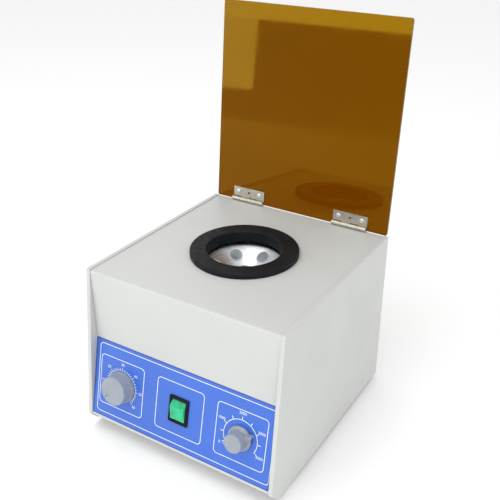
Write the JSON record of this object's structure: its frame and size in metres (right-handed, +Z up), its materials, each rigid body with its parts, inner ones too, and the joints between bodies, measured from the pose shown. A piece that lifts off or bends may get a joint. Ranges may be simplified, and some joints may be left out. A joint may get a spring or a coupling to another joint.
{
  "type": "benchtop laboratory centrifuge",
  "caption": "Small benchtop centrifuge with a hinged amber lid, a rubber-ringed round opening over an angle rotor, and a sloping front panel with timer, power switch and speed dial.",
  "frame": {"origin": "on the surface under the rubber feet, below the middle of the whole object's box with the lid open", "axes": "+Z up along the rotor shaft, +Y to the rear where the lid hinges, +X to the operator's right"},
  "size_m": [0.26, 0.316, 0.4748],
  "materials": {
    "case_paint": "fine-textured powder coat",
    "black_rubber": "matte moulded rubber",
    "panel_label": "printed polyester overlay",
    "amber_acrylic": "polished amber acrylic sheet",
    "hinge_steel": "nickel-plated sheet",
    "screw_steel": "zinc-plated",
    "black_plastic": "moulded black plastic",
    "rotor_aluminium": "turned cast aluminium",
    "sleeve_plastic": "grey moulded liner",
    "shaft_steel": "ground steel",
    "lamination_steel": "stacked lamination",
    "copper_wire": "enamelled copper",
    "carbon": "pressed carbon",
    "motor_paint": "grey motor enamel",
    "bowl_steel": "spun sheet steel",
    "knob_grey": "satin grey plastic",
    "rocker_green": "translucent green plastic",
    "board_green": "solder-masked circuit board",
    "brass_plate": "plated contact",
    "fuse_glass": "clear glass tube"
  },
  "bodies": {
    "case": {"top_front_shell": "case_paint", "left_side_panel": "case_paint", "right_side_panel": "case_paint", "rear_panel": "case_paint", "base_plate": "case_paint", "rubber_feet": "black_rubber", "opening_ring": "black_rubber", "rubber_dampers": "black_rubber", "control_label": "panel_label", "hinge_fixed_leaves": "hinge_steel", "hinge_pins": "hinge_steel", "hinge_screws": "screw_steel", "case_screws": "screw_steel", "foot_screws": "screw_steel", "post_screws": "screw_steel", "damper_bolts": "screw_steel", "board_screws": "screw_steel", "inlet_screws": "screw_steel", "m3_nuts": "screw_steel", "m4_nuts": "screw_steel", "timer_nut": "screw_steel", "speed_nut": "screw_steel", "board_standoffs": "screw_steel", "bowl_posts": "screw_steel", "switch_housing": "black_plastic", "mains_inlet": "black_plastic", "fuse_holder": "black_plastic", "fuse_cap": "black_plastic", "brush_holders": "black_plastic", "timer_body": "black_plastic", "motor_bearings": "shaft_steel", "speed_control_body": "shaft_steel", "field_stack": "lamination_steel", "field_coils": "copper_wire", "carbon_brushes": "carbon", "motor_can": "motor_paint", "motor_top_bell": "motor_paint", "motor_bottom_bell": "motor_paint", "chamber_bowl": "bowl_steel", "control_board": "board_green", "heat_sink": "rotor_aluminium", "board_components": "black_plastic", "inlet_blades": "brass_plate", "fuse_link": "fuse_glass"},
    "lid_assembly": {"lid": "amber_acrylic", "hinge_moving_leaves": "hinge_steel", "lid_screws": "screw_steel", "lid_nuts": "black_plastic"},
    "rotor_assembly": {"angle_rotor": "rotor_aluminium", "tube_sleeves": "sleeve_plastic", "rotor_nut": "rotor_aluminium", "motor_shaft": "shaft_steel", "armature_core": "lamination_steel", "armature_windings": "copper_wire", "commutator": "copper_wire"},
    "timer_dial": {"timer_knob": "knob_grey", "timer_shaft": "shaft_steel"},
    "speed_dial": {"speed_knob": "knob_grey", "speed_shaft": "shaft_steel"},
    "rocker": {"power_rocker": "rocker_green"}
  },
  "joints": [
    {"name": "lid_hinge", "type": "hinge", "parent": "case", "child": "lid_assembly", "pos_m": [0, 0.12911, 0.2151], "axis": [1, 0, 0], "range_deg": [0, 94.9]},
    {"name": "rotor_spin", "type": "hinge", "parent": "case", "child": "rotor_assembly", "pos_m": [0, 0.00101, 0.15], "axis": [0, 0, 1], "continuous": true},
    {"name": "timer_turn", "type": "hinge", "parent": "case", "child": "timer_dial", "pos_m": [-0.083, -0.13863, 0.07259], "axis": [0, 0.9792, -0.2028], "range_deg": [0, 270]},
    {"name": "speed_turn", "type": "hinge", "parent": "case", "child": "speed_dial", "pos_m": [0.083, -0.13863, 0.07259], "axis": [0, 0.9792, -0.2028], "range_deg": [0, 240]},
    {"name": "rocker_tilt", "type": "hinge", "parent": "case", "child": "rocker", "pos_m": [0.001, -0.13694, 0.07336], "axis": [1, 0, 0], "range_deg": [0, 14]}
  ]
}
